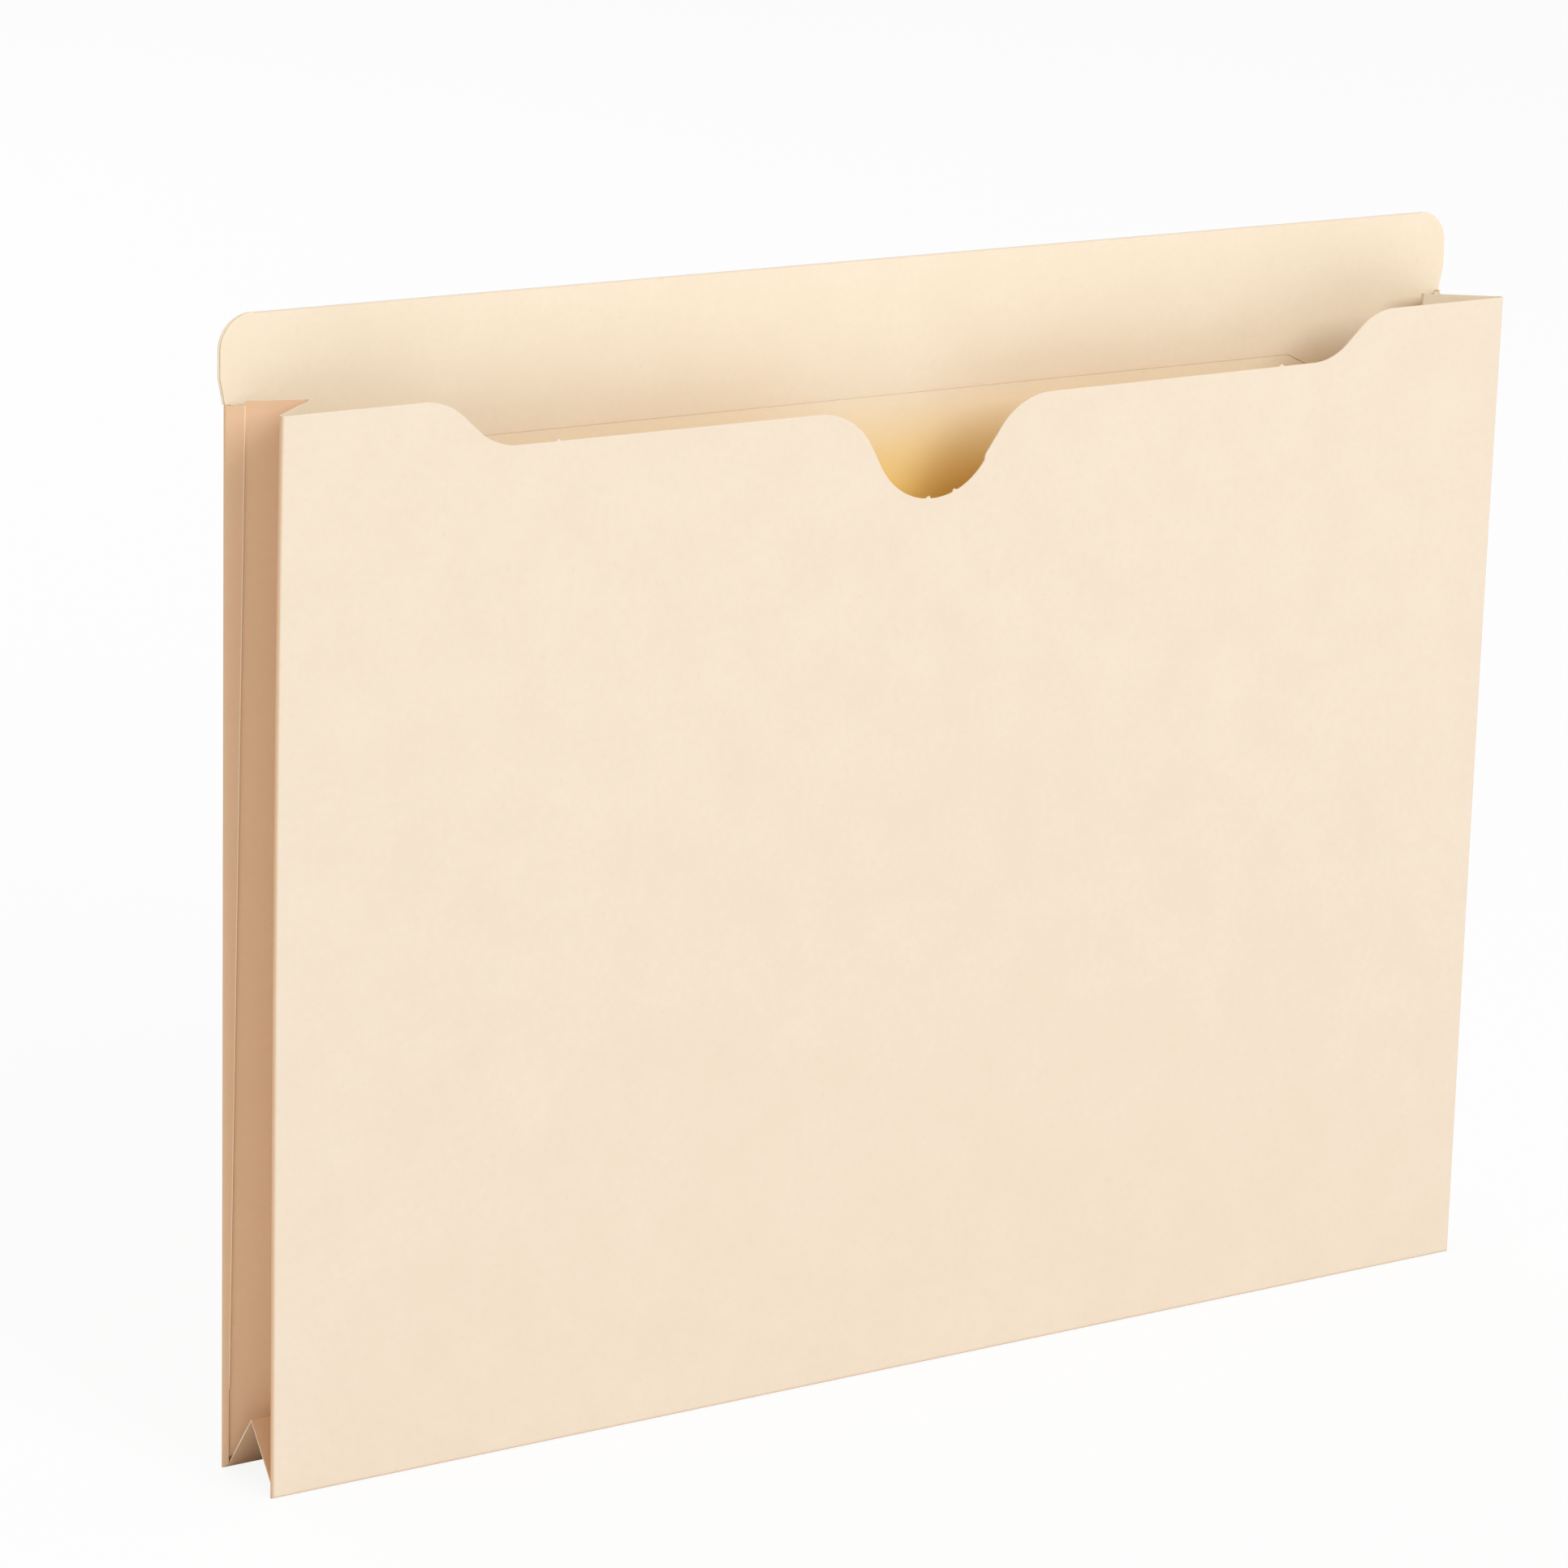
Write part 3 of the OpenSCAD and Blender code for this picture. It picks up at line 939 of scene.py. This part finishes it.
class JACKET_OT_creases(bpy.types.Operator):
    """Models the creases in which the leaves of each gusset meet"""

    bl_idname = "jacket.creases"
    bl_label = "Creases"

    def execute(self, context):
        for gusset in gussets():
            self.crease(gusset)
        return {"FINISHED"}

    def crease(self, gusset):
        node = f"{gusset.name}_crease"
        rear, front = gusset.lean(leaf_depth(gusset)), gusset.lean(gusset.fold_r)
        way_in = Vector((math.cos(rear), -math.sin(rear), 0))
        way_out = Vector((-math.cos(front), -math.sin(front), 0))
        inward = Vector((math.sin(rear), math.cos(rear), 0))
        start = gusset.crease + inward * gusset.crease_r - way_in * gusset.crease_seat
        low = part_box(node)[0].z if gusset.is_side else gusset.low
        strip = Strip(start.x, start.y, low, gusset.high)
        strip.run(way_in, gusset.crease_seat)
        strip.bend(gusset.crease, rear + front - math.pi)
        strip.run(way_out, gusset.crease_r + BEND_MARGIN)
        if gusset.is_side:
            strip.slice_across(low, gusset.high)
        thicken(strip.mesh, inward)
        # Painted shade: a crease takes the gusset's deeper, warmer tone, and a side crease the pocket's
        # deepening tone on its outer face
        outer = "manila_inside" if gusset.is_side else "manila_gusset"
        mesh = gusset.put(strip.mesh, False)
        piece = make_piece(f"{node}_sheet", mesh, node, outer=outer, inner="manila_gusset")
        gusset.blend(
            piece, gusset.crease, gusset.crease_r, False, f"{gusset.name}_rear", f"{gusset.name}_front")


class JACKET_OT_seam_flaps(bpy.types.Operator):
    """Models the tapering flaps of the back panel that are glued over the side gussets' rear leaves"""

    bl_idname = "jacket.seam_flaps"
    bl_label = "Seam Flaps"

    def execute(self, context):
        for gusset in gussets():
            if gusset.is_side:
                self.flap(gusset, context.scene.jacket_stock, context.scene.jacket_cuts)
        return {"FINISHED"}

    def flap(self, gusset, stock, cuts):
        node = f"{gusset.name}_seam_flap"
        foot, way, outward, _ = gusset.along_leaf(gusset.fold_r)
        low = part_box(node)[0].z
        lead = fold_lead(gusset, False)
        start = foot + way * lead
        top, bottom = (width - gusset.fold_r for width in (cuts.flap_top_w, cuts.flap_bottom_w))
        strip = Strip(start.x, start.y, low, TAB_FOOT)
        strip.run(way, top - lead)
        slant = way - UP * ((top - bottom) / (TAB_FOOT - low))
        trim(strip.mesh, foot + way * top + UP * TAB_FOOT, slant)
        # Painted highlight: a strip along the free edge takes the pale cut finish, standing for the cut
        # edge catching the light
        highlit = foot + way * (top - stock.highlit) + UP * TAB_FOOT
        divide(strip.mesh, highlit, slant)
        # The sheet reaches down past its glue, so that no slit shows
        thicken(strip.mesh, outward, STOCK + 2 * GLUE)
        for face in strip.mesh.faces:
            if face.material_index == OUTER and (face.calc_center_median() - highlit).dot(slant) > 0:
                face.material_index = CUT
        mesh = gusset.put(strip.mesh, False)
        # The flap's outer face takes the gusset's painted shade
        piece = make_piece(f"{node}_sheet", mesh, node, outer="manila_gusset")
        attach(piece, f"{gusset.name}_rear")


class JACKET_OT_glue(bpy.types.Operator):
    """Gives the frame's lines of glue their finish"""

    bl_idname = "jacket.glue"
    bl_label = "Glue"

    def execute(self, context):
        for node in ("tab_glue", "left_seam_glue", "right_seam_glue"):
            data = frame["nodes"][node].data
            data.materials.clear()
            data.materials.append(finish_of("dried_glue"))
        return {"FINISHED"}


def look_in(azimuth, elevation):
    """Turn of a camera or a lamp that looks in from a side and a height."""
    return Matrix.Rotation(azimuth, 4, "Z") @ Matrix.Rotation(math.pi / 2 - elevation, 4, "X")


class JACKET_OT_stage(bpy.types.Operator):
    """Sets up the camera, the soft lights, the even light all round and the floor"""

    bl_idname = "jacket.stage"
    bl_label = "Stage"

    def execute(self, context):
        scene, stage = context.scene, context.scene.jacket_stage
        scene.view_settings.view_transform = "Standard"
        self.camera(scene, stage)
        self.soft_light(scene, stage, "key_light", stage.key_power, stage.light_azimuth)
        self.soft_light(scene, stage, "back_light", stage.back_power, stage.light_azimuth + math.pi)
        self.surroundings(scene, stage)
        self.floor(scene, stage)
        return {"FINISHED"}

    def camera(self, scene, stage):
        data = bpy.data.cameras.new("camera")
        data.sensor_width, data.lens = stage.sensor, stage.lens
        data.clip_start, data.clip_end = 0.01, 20
        camera = bpy.data.objects.new("camera", data)
        turn = look_in(stage.azimuth, stage.elevation) @ Matrix.Rotation(stage.roll, 4, "Z")
        camera.matrix_world = Matrix.Translation(stage.eye) @ turn
        scene.collection.objects.link(camera)
        scene.camera = camera

    def soft_light(self, scene, stage, name, power, azimuth):
        data = bpy.data.lights.new(name, "AREA")
        data.shape, data.size, data.energy = "SQUARE", stage.light_size, power
        light = bpy.data.objects.new(name, data)
        aim = Matrix.Translation(UP * FRONT_TOP / 2)
        away = Matrix.Translation(UP * stage.light_distance)
        light.matrix_world = aim @ look_in(azimuth, stage.light_elevation) @ away
        scene.collection.objects.link(light)

    def surroundings(self, scene, stage):
        scene.world = bpy.data.worlds.new("surroundings")
        nodes = Nodes(scene.world)
        seen = self.seen_directly(nodes)
        even = nodes.add("ShaderNodeBackground", sockets={"Color": (*stage.ambient, 1)})
        white = nodes.add("ShaderNodeBackground", sockets={"Color": (1, 1, 1, 1)})
        mixed = nodes.add("ShaderNodeMixShader", sockets={0: seen, 1: even, 2: white})
        nodes.add("ShaderNodeOutputWorld", sockets={"Surface": mixed})

    def seen_directly(self, nodes):
        """1 for rays from the camera, clear reflections and views through glass, 0 for scattered light."""
        rays = {}
        for name in ("Is Camera Ray", "Is Glossy Ray", "Is Transmission Ray", "Is Diffuse Ray"):
            rays[name] = nodes.add("ShaderNodeLightPath", out=name)
        clear = rays["Is Camera Ray"] + rays["Is Glossy Ray"] + rays["Is Transmission Ray"]
        return clear * (1 - rays["Is Diffuse Ray"])

    def floor(self, scene, stage):
        mesh = bmesh.new()
        bmesh.ops.create_grid(mesh, x_segments=1, y_segments=1, size=stage.floor_half)
        bmesh.ops.translate(mesh, vec=UP * -stage.floor_gap, verts=mesh.verts[:])
        data = bpy.data.meshes.new("floor")
        mesh.to_mesh(data)
        mesh.free()
        data.materials.append(self.pale_floor(stage))
        floor = bpy.data.objects.new("floor", data)
        scene.collection.objects.link(floor)

    def pale_floor(self, stage):
        material = bpy.data.materials.new("pale_floor")
        nodes = Nodes(material)
        matt = nodes.add("ShaderNodeBsdfPrincipled", sockets={
            "Base Color": (*stage.floor, 1), "Roughness": 0.9, "Specular IOR Level": 0.1})
        white = nodes.add("ShaderNodeEmission", sockets={"Color": (1, 1, 1, 1), "Strength": 1.0})
        seen = self.seen_directly(nodes) * stage.floor_white
        mixed = nodes.add("ShaderNodeMixShader", sockets={0: seen, 1: matt, 2: white})
        nodes.add("ShaderNodeOutputMaterial", sockets={"Surface": mixed})
        return material


class JACKET_PT_sidebar(bpy.types.Panel):
    """Lists the jacket's steps and sizes"""

    bl_idname = "JACKET_PT_sidebar"
    bl_label = "File Jacket"
    bl_space_type = "VIEW_3D"
    bl_region_type = "UI"
    bl_category = "File Jacket"

    def draw(self, context):
        for step in STEPS:
            self.layout.operator(step.bl_idname)
        for name in GROUPS:
            group = getattr(context.scene, name)
            box = self.layout.box()
            for prop in group.bl_rna.properties:
                if prop.identifier not in ("rna_type", "name"):
                    box.prop(group, prop.identifier)


GROUPS = {
    "jacket_stock": JacketStock,
    "jacket_cuts": JacketCuts,
    "jacket_finish": JacketFinish,
    "jacket_stage": JacketStage,
}
STEPS = (
    JACKET_OT_stage,
    JACKET_OT_back_panel,
    JACKET_OT_tab_ply,
    JACKET_OT_front_panel,
    JACKET_OT_panel_folds,
    JACKET_OT_gusset_leaves,
    JACKET_OT_creases,
    JACKET_OT_seam_flaps,
    JACKET_OT_glue,
)
CLASSES = (*GROUPS.values(), *STEPS, JACKET_PT_sidebar)


def register():
    for item in CLASSES:
        bpy.utils.register_class(item)
    for name, group in GROUPS.items():
        setattr(bpy.types.Scene, name, PointerProperty(type=group))


def unregister():
    for name in GROUPS:
        delattr(bpy.types.Scene, name)
    for item in reversed(CLASSES):
        bpy.utils.unregister_class(item)


def main():
    register()
    bpy.ops.jacket.stage()
    bpy.ops.jacket.back_panel()
    bpy.ops.jacket.tab_ply()
    bpy.ops.jacket.front_panel()
    bpy.ops.jacket.panel_folds()
    bpy.ops.jacket.gusset_leaves()
    bpy.ops.jacket.creases()
    bpy.ops.jacket.seam_flaps()
    bpy.ops.jacket.glue()


if __name__ == "__main__":
    main()
